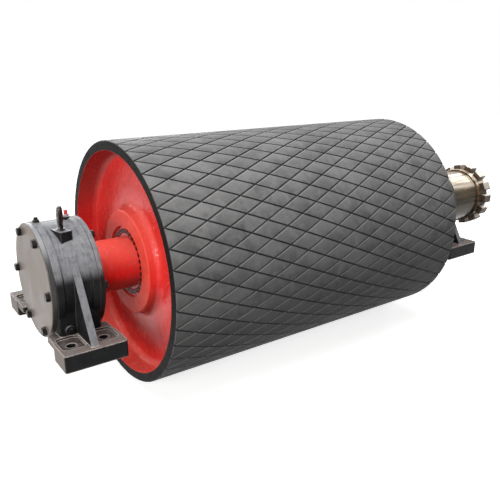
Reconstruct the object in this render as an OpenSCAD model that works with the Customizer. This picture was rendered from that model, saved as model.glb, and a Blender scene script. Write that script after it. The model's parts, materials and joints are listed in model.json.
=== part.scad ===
// Conveyor pulley: a rubber-lagged drum with forged end discs, keyless locking assemblies, a through shaft
// in two one-piece bearing housings, and a coupling half on the drive end.
// X runs along the shaft towards the drive end. The origin is on the mounting plane, midway between the
// foot bolts of the fixed bearing, so the shaft's centre line is centre_h above it.

/* [Drum] */
// Outside diameter of the steel shell
shell_d = 1000; // [940:10:1060]
// Length of the drum's face
face_w = 1600; // [1400:10:1660]
// Wall of the shell and of the end discs' rims
shell_t = 25; // [20:1:30]
// Length of each end disc's rim, from the drum's end to the shell weld
rim_len = 165; // [150:5:200]
// Distance from the fixed bearing's centre to the middle of the drum
drum_x = 1050; // [1040:2:1060]

/* [Lagging] */
// Thickness of the rubber lagging
lag_t = 15; // [12:1:20]
// Depth of the diamond grooves
groove_depth = 6; // [4:0.5:8]
// Width of the diamond grooves
groove_w = 7; // [5:0.5:9]
// Diamonds round the drum
pads_round = 42; // [38:1:46]
// Half rows of diamonds in each of the three lagging sheets
sheet_rows = 6; // [4:2:6]
// Chamfer on the lagging's outer end edges
lag_chamfer = 3; // [1:0.5:4]

/* [End discs] */
// Diameter of the flat boss round the shaft
boss_d = 446; // [420:2:480]
// How far the boss face lies inside the drum's end
boss_inset = 36; // [30:1:60]
// Length of the hub along the shaft
hub_len = 160; // [140:5:200]
// Depth of the web's outer face below the drum's end, next to the hub
web_inset = 88; // [80:1:96]
// How much deeper the web's outer face lies at the rim
web_dish = 12; // [6:1:16]
// Thickness of the web at the rim
web_t = 26; // [20:1:32]
// Extra thickness of the web at the hub
web_thick_more = 18; // [10:1:24]
// Radius between the web and the hub
hub_fillet = 34; // [20:1:38]
// Radius between the web and the rim
rim_fillet = 30; // [20:1:34]

/* [Shaft] */
// Diameter of the shaft between the bearings
shaft_d = 220; // [210:1:224]
// Diameter of the bearing journals
journal_d = 200; // [190:1:204]
// Diameter of the drive end
drive_d = 180; // [150:1:186]
// Distance between the bearings' centres
bearing_span = 2150; // [2130:5:2200]
// Length of the drive end past the free bearing's centre
drive_len = 506; // [480:2:540]
// Width of the drive key
key_w = 45; // [36:1:50]
// Height of the drive key
key_h = 25; // [20:1:28]

/* [Locking assemblies] */
// Outside diameter of the locking assembly, which is the hub's bore
lock_d = 310; // [290:1:320]
// Width of the locking assembly
lock_w = 64; // [56:1:72]
// How far the locking assembly lies below the boss face
lock_inset = 12; // [6:1:18]
// Clamping screws round each locking assembly
lock_screws = 30; // [20:1:30]
// Thread diameter of a clamping screw
lock_screw_d = 14; // [10:1:14]

/* [Bearings] */
// Outside diameter of the spherical roller bearings
bearing_d = 360; // [354:1:366]
// Width of the bearings
bearing_w = 98; // [92:1:104]
// Radius of the outer ring's spherical raceway
raceway_r = 158; // [156:0.5:160]
// Diameter of a roller
roller_d = 44; // [40:1:46]
// Length of a roller
roller_len = 38; // [34:1:39]
// Rollers in each of the two rows
rollers_round = 16; // [12:1:16]
// Angle of the roller rows to the bearing's middle plane
contact_angle = 10.5; // [9:0.5:12]

/* [Housings] */
// Height of the shaft above the mounting plane
centre_h = 235; // [232:1:260]
// Diameter of the housing's barrel at its flanges
barrel_d = 460; // [450:2:464]
// Width of the housing's barrel
barrel_w = 164; // [160:2:176]
// How much the barrel is waisted between its flanges
barrel_waist = 6; // [3:0.5:9]
// Thickness of the covers
cover_t = 20; // [16:1:26]
// Thickness of the cover gaskets
gasket_t = 1; // [0.5:0.5:2]
// Pitch circle of the cover bolts
cover_circle_d = 408; // [402:1:412]
// Cover bolts round each cover
cover_bolts_round = 6; // [4:1:8]
// Thread diameter of the cover bolts
cover_bolt_d = 20; // [12:2:20]
// Length of the foot across the shaft
foot_len = 740; // [730:5:800]
// Width of the foot along the shaft
foot_w = 240; // [230:5:270]
// Thickness of the foot pads
foot_t = 66; // [56:1:76]
// Length of each foot pad across the shaft
pad_len = 130; // [125:5:135]
// Foot bolt spacing along the shaft
foot_bolt_x = 124; // [110:2:136]
// Foot bolt spacing across the shaft
foot_bolt_y = 546; // [538:2:552]
// Diameter of the foot bolt holes
foot_hole_d = 39; // [30:1:42]
// Width of the pedestal along the shaft
pedestal_w = 160; // [140:5:164]
// Length of the pedestal across the shaft
pedestal_len = 420; // [400:5:426]
// Thickness of the gusset ribs
rib_t = 28; // [20:1:34]

/* [Coupling] */
// Diameter of the coupling hub's barrel
coupling_d = 304; // [280:2:310]
// Diameter of the coupling over its lugs
lug_circle_d = 372; // [362:2:390]
// Lugs round the coupling
lugs_round = 14; // [10:1:16]
// Length of the lugs along the shaft
lug_len = 58; // [46:1:66]
// Width of a lug
lug_w = 48; // [36:1:52]
// Length of the whole coupling half
coupling_len = 350; // [330:2:360]

/* [Hidden] */
$fn = 96;
fine_fn = 48;

// Clearances
seat_gap = 0.02;
run_gap = 0.3;
bolt_gap = 1;
cut = 1;

// Drum
shell_r = shell_d / 2;
rim_r = shell_r - shell_t;
lag_r = shell_r + lag_t;
drum_end = face_w / 2;
shell_len = face_w - 2 * rim_len;
weld_root = 4;
weld_angle_run = 9;

// Lagging pattern
row_pitch = face_w / (3 * sheet_rows);
pad_angle = 360 / pads_round;
pad_half_y = lag_r * sin(pad_angle / 2);
groove_angle = atan2(pad_half_y, row_pitch);
pad_x = row_pitch - groove_w / 2 / sin(groove_angle);
pad_y = pad_half_y - groove_w / 2 / cos(groove_angle);
pad_root = 1;

// End disc profile, as radius and depth below the drum's end
bore_r = lock_d / 2;
boss_r = boss_d / 2;
guide_r = shaft_d / 2 + 0.5;
web_r0 = boss_r + hub_fillet + 6;
dish_angle = atan2(web_dish, rim_r - web_r0);
hub_back = boss_inset + hub_len;
hub_back_r = boss_r - 26;
boss_edge = 4;
arc_steps = 8;

// Shaft
drive_end_x = bearing_span + drive_len;
journal_shoulder = bearing_w / 2;
idle_end = -(barrel_w / 2 - 4);
idle_face_x = drum_x - drum_end + boss_inset;
drive_face_x = drum_x + drum_end - boss_inset;
nut_w = 22;
nut_r = 126;
nut_slot_w = 16;
nut_slots = 8;
washer_w = 3;
drive_shoulder = barrel_w / 2 + cover_t + 36;
shaft_chamfer = 4;

// Bearing
bearing_r = bearing_d / 2;
journal_r = journal_d / 2;
roller_pitch = raceway_r - run_gap - roller_d / 2;
roller_row_x = roller_pitch * sin(contact_angle);
roller_row_r = roller_pitch * cos(contact_angle);
roller_crown = raceway_r - run_gap;
cage_half_w = bearing_w / 2 - 5;
cage_half_t = 8;
cage_peak = roller_row_r + roller_row_x * tan(contact_angle);
cage_low = roller_row_r - (cage_half_w - roller_row_x) * tan(contact_angle);
rib_r = journal_r + 17;
rib_half_w = 5;

// Housing
barrel_r = barrel_d / 2;
cover_r = barrel_r - 2;
cover_x = barrel_w / 2 + gasket_t;
flange_w = 26;
spigot_wall = 16;
spigot_r = bearing_r - 0.2;
free_spigot = 18;
fixed_spigot = barrel_w / 2 - bearing_w / 2 - 8 - run_gap;
seal_bore_r = shaft_d / 2 + 22;
labyrinth_r = seal_bore_r - 1;
arch_h = 30;
pad_mid = (foot_len - pad_len) / 2;
bridge_h = 40;
deck_inset = 3;
deck_in = sqrt(pow(cover_r, 2) - pow(centre_h - foot_t, 2)) + 10;
rib_setback = 16;
tray_depth = 10;
tray_corner = 22;
tray_x0 = rib_t / 2 + 3;
tray_x1 = foot_w / 2 - 13;
tray_y0 = pedestal_len / 2 + 2;
tray_y1 = foot_len / 2 - 46;
eye_block_w = 48;
eye_block_len = 74;
eye_turn = 12;
eye_x = -6;
eye_y = -104;
eye_top = 214;
eye_ring_r = 29;
eye_ring_turn = -22;
eye_rod_r = 9.5;
eye_shank_r = 10;
eye_collar_r = 16;
eye_collar_h = 6;
eye_neck_h = 15;
eye_hole_depth = 36;
nipple_x = 50;
nipple_r = 5;
nipple_boss_r = 13;
plug_x = -66;
plug_r = 8;
plug_boss_r = 13;
boss_top = 6;
nipple_flange_top = 10;
nipple_tip_r = 3.5;
drain_x = -42;
drain_boss_r = 18;
drain_z = foot_t + drain_boss_r + 4;
drain_boss_len = 40;
thread_depth = 34;

// Fasteners
head_h = 12.5;
head_af = 30;
washer_t = 3;
washer_r = 18.5;

// Coupling
coupling_start = drive_end_x - coupling_len;
coupling_r = coupling_d / 2;
crown_bore_r = 110;
lug_rise = 28;
lug_start = 180 / lugs_round;
crown_r = lug_circle_d / 2 - lug_rise;
crown_w = lug_len;
collar_w = 26;
collar_gap = 12;
end_plate_t = 18;
end_plate_r = crown_bore_r - 4;
plate_recess = 4;
key_x0 = coupling_start + 14;
key_setback = 60;
key_len = coupling_len - key_setback;

// ---- helpers ----

// turns a profile of [x, radius] points about the shaft's axis
module turned(points) {
    rotate([90, 0, 90]) rotate_extrude() polygon([for (p = points) [p[1], p[0]]]);
}

// a round bar along X, from x0 to x1
module bar(x0, x1, r) {
    translate([x0, 0, 0]) rotate([0, 90, 0]) cylinder(h = x1 - x0, r = r);
}

// a ring along X
module ring(x0, x1, r_out, r_in) {
    difference() {
        bar(x0, x1, r_out);
        bar(x0 - cut, x1 + cut, r_in);
    }
}

// copies its children n times round the shaft's axis
module around(n, start = 0) {
    for (i = [0:n - 1]) rotate([start + 360 * i / n, 0, 0]) children();
}

// raises its children to the shaft's centre line
module on_shaft(x = 0) {
    translate([x, 0, centre_h]) children();
}

// places its children at both bearings, facing outwards at each end
module at_both_bearings() {
    on_shaft(0) children();
    on_shaft(bearing_span) mirror([1, 0, 0]) children();
}

// places its children at both drum ends, measured inwards from the end
module at_both_drum_ends() {
    on_shaft(drum_x - drum_end) children();
    on_shaft(drum_x + drum_end) mirror([1, 0, 0]) children();
}

// points of an arc in [x, radius], from angle a0 to a1
function arc(cx, cr, r, a0, a1) =
    [for (i = [0:arc_steps]) let (a = a0 + (a1 - a0) * i / arc_steps) [cx + r * cos(a), cr + r * sin(a)]];

module rounded_plate(x, y, h, r) {
    linear_extrude(h) {
        square([x - 2 * r, y], center = true);
        square([x, y - 2 * r], center = true);
        for (sx = [-1, 1], sy = [-1, 1])
            translate([sx * (x / 2 - r), sy * (y / 2 - r)]) circle(r, $fn = fine_fn);
    }
}

module hexagon_prism(af, h) {
    cylinder(h = h, r = af / 2 / cos(30), $fn = 6);
}

// ---- drum ----

module lagging_pad(at_start, at_end) {
    intersection() {
        translate([0, 0, lag_r - groove_depth - pad_root])
            linear_extrude(groove_depth + pad_root + 2)
                intersection() {
                    polygon([[-pad_x, 0], [0, -pad_y], [pad_x, 0], [0, pad_y]]);
                    if (at_start) translate([0, -pad_y]) square([pad_x, 2 * pad_y]);
                    if (at_end) translate([-pad_x, -pad_y]) square([pad_x, 2 * pad_y]);
                }
        bar(-row_pitch, row_pitch, lag_r);
    }
}

module lagging_sheet(first, chamfer_start = false, chamfer_end = false) {
    last = first + sheet_rows;
    x0 = -drum_end + first * row_pitch;
    x1 = x0 + sheet_rows * row_pitch;
    difference() {
        union() {
            ring(x0, x1, lag_r - groove_depth, shell_r);
            for (k = [first:last])
                translate([-drum_end + k * row_pitch, 0, 0])
                    around(pads_round, ((k + 1) % 2) * pad_angle / 2)
                        lagging_pad(k == first, k == last);
        }
        if (chamfer_start) lagging_bevel(x0, 1);
        if (chamfer_end) lagging_bevel(x1, -1);
    }
}

module lagging_bevel(x, side) {
    turned([[x - side * cut, lag_r - lag_chamfer - cut], [x + side * (lag_chamfer + cut), lag_r + cut],
        [x - side * cut, lag_r + cut]]);
}

module lagging_idle_sheet() {
    color("dimgray") on_shaft(drum_x) lagging_sheet(0, chamfer_start = true);
}

module lagging_middle_sheet() {
    color("gray") on_shaft(drum_x) lagging_sheet(sheet_rows);
}

module lagging_drive_sheet() {
    color("dimgray") on_shaft(drum_x) lagging_sheet(2 * sheet_rows, chamfer_end = true);
}

module drum_shell() {
    half = shell_len / 2;
    color("firebrick") on_shaft(drum_x)
        turned([[-half, rim_r], [half, rim_r], [half, rim_r + weld_root], [half - weld_angle_run, shell_r],
            [-half + weld_angle_run, shell_r], [-half, rim_r + weld_root]]);
}

module shell_welds() {
    half = shell_len / 2;
    color("slategray") on_shaft(drum_x)
        for (side = [-1, 1])
            turned([[side * half, rim_r + weld_root], [side * (half + weld_angle_run), shell_r],
                [side * (half - weld_angle_run), shell_r]]);
}

// outline of the web's outer face at radius r
function web_face(r) = web_inset + (r - web_r0) * tan(dish_angle);

module end_disc() {
    hub_c = [web_inset - hub_fillet, web_r0 - 6];
    rim_c = [web_face(rim_r - rim_fillet) - rim_fillet / cos(dish_angle), rim_r - rim_fillet];
    back_hub = web_inset + web_t + web_thick_more;
    back_rim = web_face(rim_r) + web_t;
    back_fillet = hub_back - back_hub - 6;
    turned(concat(
        [[boss_inset, bore_r], [boss_inset, boss_r - boss_edge], [boss_inset + boss_edge, boss_r]],
        arc(hub_c[0], hub_c[1], hub_fillet, -90, 0),
        arc(rim_c[0], rim_c[1], rim_fillet, dish_angle, 90),
        [[0, rim_r], [0, shell_r], [rim_len - weld_angle_run, shell_r], [rim_len, rim_r + weld_root],
            [rim_len, rim_r]],
        arc(back_rim + rim_fillet, rim_r - rim_fillet, rim_fillet, 90, 180),
        arc(back_hub + back_fillet, hub_back_r + back_fillet, back_fillet, 180, 270),
        [[hub_back, hub_back_r], [hub_back, guide_r], [boss_inset + lock_inset + lock_w + 6, guide_r],
            [boss_inset + lock_inset + lock_w + 6, bore_r]]
    ));
}

module end_disc_idle() {
    color("crimson") on_shaft(drum_x - drum_end) end_disc();
}

module end_disc_drive() {
    color("crimson") on_shaft(drum_x + drum_end) mirror([1, 0, 0]) end_disc();
}

// ---- shaft ----

module shaft() {
    journal = journal_d / 2;
    body = shaft_d / 2;
    drive = drive_d / 2;
    far = bearing_span;
    color("indianred") on_shaft()
        difference() {
            turned([[idle_end, 0], [idle_end, journal - shaft_chamfer],
                [idle_end + shaft_chamfer, journal], [journal_shoulder, journal], [journal_shoulder, body],
                [far - journal_shoulder, body], [far - journal_shoulder, journal],
                [far + drive_shoulder, journal], [far + drive_shoulder, drive],
                [drive_end_x - plate_recess - shaft_chamfer, drive],
                [drive_end_x - plate_recess, drive - shaft_chamfer], [drive_end_x - plate_recess, 0]]);
            translate([key_x0, -key_w / 2, drive - key_h * 0.6]) cube([key_len, key_w, key_h]);
            around(3)
                translate([drive_end_x - plate_recess - thread_depth, 0, drive * 0.55])
                    rotate([0, 90, 0])
                        cylinder(h = thread_depth + cut, r = cover_bolt_d / 2 - 1, $fn = fine_fn);
            translate([drive_end_x - plate_recess - thread_depth, 0, 0])
                rotate([0, 90, 0]) cylinder(h = thread_depth + cut, r = 8, $fn = fine_fn);
        }
}

// ---- locking assemblies, drawn at a drum end ----

lock_x = boss_inset + lock_inset;
lock_mid = lock_x + lock_w / 2;
taper = 5;
ring_wall = 4;
front_w = lock_w / 2 - 4;
screw_circle_r = (shaft_d / 2 + bore_r) / 2;
first_screw = 2.6;
screw_head_r = lock_screw_d * 0.75;

module lock_outer_ring() {
    turned([[lock_x, bore_r - seat_gap], [lock_x + lock_w, bore_r - seat_gap],
        [lock_x + lock_w, bore_r - ring_wall], [lock_mid, bore_r - ring_wall - taper],
        [lock_x, bore_r - ring_wall]]);
}

module lock_inner_ring() {
    r = shaft_d / 2 + seat_gap;
    turned([[lock_x, r], [lock_x + lock_w, r], [lock_x + lock_w, r + ring_wall],
        [lock_mid, r + ring_wall + taper], [lock_x, r + ring_wall]]);
}

// a double-taper pressure ring, from its wide outer face inwards
module pressure_ring() {
    low = shaft_d / 2 + ring_wall + seat_gap * 2;
    high = bore_r - ring_wall - seat_gap * 2;
    slope = taper * front_w / (lock_w / 2);
    turned([[lock_x, low], [lock_x, high], [lock_x + front_w, high - slope],
        [lock_x + front_w, low + slope]]);
}

module lock_front_ring() {
    difference() {
        pressure_ring();
        around(lock_screws, first_screw)
            translate([0, 0, screw_circle_r]) {
                bar(lock_x - cut, lock_x + lock_w, lock_screw_d / 2 + 0.5);
                bar(lock_x - cut, lock_x + 8, screw_head_r + 0.5);
            }
    }
}

module lock_rear_ring() {
    difference() {
        translate([2 * lock_mid, 0, 0]) mirror([1, 0, 0]) pressure_ring();
        around(lock_screws, first_screw)
            translate([0, 0, screw_circle_r]) bar(lock_x, lock_x + lock_w + cut, lock_screw_d / 2);
    }
}

module lock_screw() {
    difference() {
        union() {
            bar(lock_x - lock_screw_d + 8, lock_x + 8, screw_head_r, $fn = fine_fn);
            bar(lock_x + 7, lock_x + lock_w - 4, lock_screw_d / 2 - seat_gap, $fn = fine_fn);
        }
        translate([lock_x - lock_screw_d, 0, 0]) rotate([0, 90, 0])
            hexagon_prism(lock_screw_d * 0.86, lock_screw_d);
    }
}

module lock_outer_rings() {
    color("silver") at_both_drum_ends() lock_outer_ring();
}

module lock_inner_rings() {
    color("silver") at_both_drum_ends() lock_inner_ring();
}

module lock_front_rings() {
    color("tomato") at_both_drum_ends() lock_front_ring();
}

module lock_rear_rings() {
    color("silver") at_both_drum_ends() lock_rear_ring();
}

module lock_screws() {
    color("maroon") at_both_drum_ends() around(lock_screws, first_screw)
        translate([0, 0, screw_circle_r]) lock_screw();
}

// ---- bearings, drawn about their own centre ----

// a barrel-shaped roller about its own axis, along X; grow widens it all round
module roller(grow = 0) {
    drop = roller_crown - roller_d / 2;
    half = roller_len / 2 + grow;
    rotate([0, 90, 0]) rotate_extrude()
        intersection() {
            translate([-drop, 0]) circle(roller_crown + grow);
            translate([0, -half]) square([roller_d, 2 * half]);
        }
}

// places its children as every roller of both rows
module at_rollers() {
    for (row = [-1, 1])
        around(rollers_round, row > 0 ? 180 / rollers_round : 0)
            translate([row * roller_row_x, 0, roller_row_r])
                rotate([0, row * contact_angle, 0]) children();
}

module outer_race() {
    difference() {
        bar(-bearing_w / 2, bearing_w / 2, bearing_r - seat_gap);
        sphere(raceway_r);
    }
}

module inner_race() {
    far_x = 2 * roller_pitch * sin(contact_angle);
    far_r = 2 * roller_pitch * cos(contact_angle);
    rotate([90, 0, 90]) rotate_extrude()
        difference() {
            translate([journal_r + seat_gap, -bearing_w / 2]) square([rib_r - journal_r, bearing_w]);
            for (row = [-1, 1]) translate([far_r, row * far_x]) circle(raceway_r);
        }
}

module cage() {
    difference() {
        turned([[-cage_half_w, cage_low - cage_half_t], [0, cage_peak - cage_half_t],
            [cage_half_w, cage_low - cage_half_t], [cage_half_w, cage_low + cage_half_t],
            [0, cage_peak + cage_half_t], [-cage_half_w, cage_low + cage_half_t]]);
        at_rollers() roller(run_gap);
    }
}

module outer_race_idle() {
    color("lightsteelblue") on_shaft() outer_race();
}

module outer_race_drive() {
    color("lightsteelblue") on_shaft(bearing_span) outer_race();
}

module inner_race_idle() {
    color("lightsteelblue") on_shaft() inner_race();
}

module inner_race_drive() {
    color("lightsteelblue") on_shaft(bearing_span) inner_race();
}

module rollers_idle() {
    color("gainsboro") on_shaft() at_rollers() roller();
}

module rollers_drive() {
    color("gainsboro") on_shaft(bearing_span) at_rollers() roller();
}

module cage_idle() {
    color("goldenrod") on_shaft() cage();
}

module cage_drive() {
    color("goldenrod") on_shaft(bearing_span) cage();
}

nut_x = bearing_w / 2 + washer_w;

module lock_nut() {
    difference() {
        ring(-nut_x - nut_w, -nut_x, nut_r, journal_r + seat_gap);
        around(nut_slots)
            translate([-nut_x - nut_w - cut, -nut_slot_w / 2, nut_r - 7])
                cube([nut_w + 2 * cut, nut_slot_w, 14]);
    }
}

module lock_nuts() {
    color("dimgray") at_both_bearings() lock_nut();
}

module lock_washers() {
    color("silver") at_both_bearings() ring(-nut_x, -bearing_w / 2, nut_r - 9, journal_r + seat_gap);
}

// ---- housings, drawn about the bearing's foot on the mounting plane ----

module foot_trays() {
    for (sx = [-1, 1], sy = [-1, 1])
        translate([sx * (tray_x0 + tray_x1) / 2, sy * (tray_y0 + tray_y1) / 2, foot_t - tray_depth])
            rounded_plate(tray_x1 - tray_x0, tray_y1 - tray_y0, tray_depth + cut, tray_corner);
}

module foot_holes() {
    for (sx = [-1, 1], sy = [-1, 1])
        translate([sx * foot_bolt_x / 2, sy * foot_bolt_y / 2, -cut])
            cylinder(h = foot_t + 2 * cut, r = foot_hole_d / 2, $fn = fine_fn);
}

module foot() {
    for (sy = [-1, 1]) {
        translate([0, sy * pad_mid, 0]) rounded_plate(foot_w, pad_len, foot_t, 10);
        translate([0, sy * (deck_in + pad_mid) / 2, bridge_h])
            rounded_plate(foot_w - 2 * deck_inset, pad_mid - deck_in, foot_t - bridge_h, 6);
    }
    translate([0, 0, bridge_h])
        rounded_plate(pedestal_w, foot_len - pad_len, foot_t - bridge_h, 6);
}

module gusset() {
    rib_top_y = barrel_r * 0.8;
    rib_foot_y = foot_len / 2 - rib_setback;
    rotate([90, 0, 90]) translate([0, 0, -rib_t / 2]) linear_extrude(rib_t)
        for (side = [-1, 1])
            polygon([[side * rib_foot_y, foot_t - cut], [side * rib_top_y, centre_h + barrel_r * 0.58],
                [side * barrel_r * 0.5, centre_h], [side * pedestal_len * 0.4, foot_t - cut]]);
}

module barrel() {
    half = barrel_w / 2;
    turned([[-half, 0], [-half, barrel_r - 2], [-half + 2, barrel_r], [-half + flange_w, barrel_r],
        [-half + flange_w + 8, barrel_r - barrel_waist], [half - flange_w - 8, barrel_r - barrel_waist],
        [half - flange_w, barrel_r], [half - 2, barrel_r], [half, barrel_r - 2], [half, 0]]);
}

module tapped_cover_holes() {
    for (side = [-1, 1])
        around(cover_bolts_round, 90)
            translate([side * (barrel_w / 2 - thread_depth / 2 + cut / 2), 0, cover_circle_d / 2])
                rotate([0, 90, 0])
                    cylinder(h = thread_depth + cut, r = cover_bolt_d / 2, $fn = fine_fn, center = true);
}

module housing() {
    difference() {
        union() {
            translate([0, 0, centre_h]) barrel();
            translate([0, 0, arch_h]) rounded_plate(pedestal_w, pedestal_len, centre_h - arch_h, 8);
            foot();
            gusset();
            translate([eye_x, eye_y, centre_h]) rotate([0, 0, eye_turn])
                translate([-eye_block_w / 2, -eye_block_len / 2, 0])
                    cube([eye_block_w, eye_block_len, eye_top]);
            translate([nipple_x, 0, centre_h])
                cylinder(h = barrel_r + boss_top, r = nipple_boss_r, $fn = fine_fn);
            translate([plug_x, 0, centre_h])
                cylinder(h = barrel_r + boss_top - 2, r = plug_boss_r, $fn = fine_fn);
            translate([drain_x, -pedestal_len / 2 - boss_top, drain_z])
                rotate([-90, 0, 0]) cylinder(h = drain_boss_len, r = drain_boss_r, $fn = fine_fn);
        }
        translate([0, 0, centre_h]) {
            bar(-barrel_w, barrel_w, bearing_r);
            tapped_cover_holes();
        }
        foot_holes();
        foot_trays();
        translate([eye_x, eye_y, centre_h + eye_top - eye_hole_depth])
            cylinder(h = eye_hole_depth + cut, r = eye_shank_r, $fn = fine_fn);
        translate([nipple_x, 0, centre_h])
            cylinder(h = barrel_r + boss_top + cut, r = nipple_r, $fn = fine_fn);
        translate([plug_x, 0, centre_h]) cylinder(h = barrel_r + boss_top + cut, r = plug_r, $fn = fine_fn);
        translate([drain_x, -pedestal_len / 2 - boss_top - cut, drain_z])
            rotate([-90, 0, 0]) cylinder(h = drain_boss_len, r = plug_r, $fn = fine_fn);
    }
}

module housing_idle() {
    color("darkslategray") housing();
}

module housing_drive() {
    color("darkslategray") translate([bearing_span, 0, 0]) mirror([1, 0, 0]) housing();
}

// a cover's plate on the outer (-1) or inner (1) side, with its spigot of the given length
module cover_plate(spigot) {
    x0 = cover_x;
    difference() {
        union() {
            turned([[x0, 0], [x0, cover_r], [x0 + cover_t - 3, cover_r], [x0 + cover_t, cover_r - 3],
                [x0 + cover_t, 0]]);
            ring(barrel_w / 2 - spigot, x0 + cut, spigot_r, spigot_r - spigot_wall);
        }
        around(cover_bolts_round, 90)
            translate([0, 0, cover_circle_d / 2])
                bar(x0 - cut, x0 + cover_t + cut, cover_bolt_d / 2 + bolt_gap, $fn = fine_fn);
    }
}

module seal_cover(spigot, bore) {
    difference() {
        cover_plate(spigot);
        bar(0, barrel_w, bore);
        ring(cover_x + 5, cover_x + cover_t - 5, bore + 6, bore - cut);
    }
}

module end_cover_idle() {
    color("darkgray") on_shaft() mirror([1, 0, 0]) cover_plate(fixed_spigot);
}

module outer_cover_drive() {
    color("darkgray") on_shaft(bearing_span) seal_cover(free_spigot, seal_bore_r);
}

module inner_cover_idle() {
    color("darkslategray") on_shaft() seal_cover(fixed_spigot, seal_bore_r);
}

module inner_cover_drive() {
    color("darkslategray") on_shaft(bearing_span) mirror([1, 0, 0]) seal_cover(free_spigot, seal_bore_r);
}

module gasket() {
    difference() {
        ring(barrel_w / 2, cover_x, cover_r - 1, bearing_r);
        around(cover_bolts_round, 90)
            translate([0, 0, cover_circle_d / 2])
                bar(barrel_w / 2 - cut, cover_x + cut, cover_bolt_d / 2 + bolt_gap, $fn = fine_fn);
    }
}

// places its children, drawn on the +X face of a housing, on all four housing faces
module at_four_faces() {
    for (x = [0, bearing_span], side = [0, 1])
        on_shaft(x) mirror([side, 0, 0]) children();
}

module cover_gaskets() {
    color("black") at_four_faces() gasket();
}

module cover_bolt() {
    x0 = cover_x + cover_t + washer_t;
    bar(barrel_w / 2 - thread_depth + 6, x0 + cut, cover_bolt_d / 2 - seat_gap, $fn = fine_fn);
    difference() {
        translate([x0, 0, 0]) rotate([0, 90, 0]) hexagon_prism(head_af, head_h);
        difference() {
            bar(x0 + head_h - 3, x0 + head_h + cut, head_af);
            translate([x0 + head_h - 4, 0, 0]) rotate([0, 90, 0])
                cylinder(h = 6, r1 = head_af / 2 + 3.5, r2 = head_af / 2 - 3.5, $fn = fine_fn);
        }
    }
}

module cover_bolts() {
    color("black") at_four_faces() around(cover_bolts_round, 90)
        translate([0, 0, cover_circle_d / 2]) cover_bolt();
}

module cover_washers() {
    color("dimgray") at_four_faces() around(cover_bolts_round, 90)
        translate([0, 0, cover_circle_d / 2])
            ring(cover_x + cover_t, cover_x + cover_t + washer_t, washer_r, cover_bolt_d / 2 + seat_gap);
}

// a labyrinth ring turns with the shaft inside a cover's bore
module labyrinth_ring(shaft_r) {
    ring(cover_x + 1, cover_x + cover_t + 6, labyrinth_r, shaft_r + seat_gap);
}

module lip_seal() {
    ring(cover_x + 5.2, cover_x + cover_t - 5.2, seal_bore_r + 5.8, labyrinth_r + run_gap);
}

module at_seal_faces() {
    on_shaft() children();
    on_shaft(bearing_span) mirror([1, 0, 0]) children();
    on_shaft(bearing_span) children();
}

module labyrinth_rings() {
    color("dimgray") {
        on_shaft() labyrinth_ring(shaft_d / 2);
        on_shaft(bearing_span) mirror([1, 0, 0]) labyrinth_ring(shaft_d / 2);
        on_shaft(bearing_span) labyrinth_ring(journal_r);
    }
}

module lip_seals() {
    color("black") at_seal_faces() lip_seal();
}

// locating rings hold the fixed bearing's outer ring between the two idle-side covers
module locating_rings() {
    color("silver") on_shaft()
        for (side = [0, 1])
            mirror([side, 0, 0])
                ring(bearing_w / 2, bearing_w / 2 + 8, bearing_r - 0.2, bearing_r - spigot_wall);
}

module lifting_eye() {
    translate([eye_x, eye_y, eye_top]) {
        translate([0, 0, -eye_hole_depth + 4])
            cylinder(h = eye_hole_depth, r = eye_shank_r - seat_gap, $fn = fine_fn);
        cylinder(h = eye_collar_h, r = eye_collar_r, $fn = fine_fn);
        cylinder(h = eye_neck_h + eye_rod_r / 2, r = eye_rod_r, $fn = fine_fn);
        translate([0, 0, eye_neck_h + eye_ring_r + eye_rod_r]) rotate([0, 90, eye_ring_turn])
            rotate_extrude() translate([eye_ring_r, 0]) circle(eye_rod_r, $fn = fine_fn);
    }
}

module lifting_eyes() {
    color("black") at_both_bearings() lifting_eye();
}

module grease_nipple() {
    translate([nipple_x, 0, barrel_r + boss_top]) {
        translate([0, 0, -12]) cylinder(h = 13, r = nipple_r - seat_gap, $fn = fine_fn);
        hexagon_prism(17, 6);
        translate([0, 0, 5]) cylinder(h = nipple_flange_top - 5, r = 12.5, $fn = fine_fn);
        translate([0, 0, nipple_flange_top - cut]) cylinder(h = 9, r = nipple_tip_r, $fn = fine_fn);
    }
}

module grease_nipples() {
    color("black") at_both_bearings() grease_nipple();
}

module nipple_cap() {
    translate([nipple_x, 0, barrel_r + boss_top + nipple_flange_top])
        difference() {
            cylinder(h = 17, r = 7, $fn = fine_fn);
            translate([0, 0, -cut]) cylinder(h = 10, r = nipple_tip_r + run_gap, $fn = fine_fn);
        }
}

module nipple_caps() {
    color("red") at_both_bearings() nipple_cap();
}

module top_plug() {
    translate([plug_x, 0, barrel_r + boss_top - 2]) {
        translate([0, 0, -14]) cylinder(h = 15, r = plug_r - seat_gap, $fn = fine_fn);
        cylinder(h = 6, r = plug_boss_r, $fn = fine_fn);
        translate([0, 0, 5]) hexagon_prism(14, 11);
    }
}

module top_plugs() {
    color("black") at_both_bearings() top_plug();
}

module drain_plug() {
    translate([drain_x, -pedestal_len / 2 - boss_top, drain_z - centre_h]) rotate([90, 0, 0]) {
        translate([0, 0, -16]) cylinder(h = 17, r = plug_r - seat_gap, $fn = fine_fn);
        cylinder(h = 3, r = 15, $fn = fine_fn);
        translate([0, 0, 3]) hexagon_prism(19, 9);
    }
}

module drain_plugs() {
    color("black") at_both_bearings() drain_plug();
}

// ---- coupling ----

crown_x = drive_end_x - crown_w;
collar_x = crown_x - collar_gap - collar_w;

module coupling_bore() {
    bar(coupling_start - cut, drive_end_x + cut, drive_d / 2 + seat_gap);
    translate([coupling_start - cut, -key_w / 2 - seat_gap, 0])
        cube([coupling_len + 2 * cut, key_w + 2 * seat_gap, drive_d / 2 + key_h * 0.4 + 0.5]);
}

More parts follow.
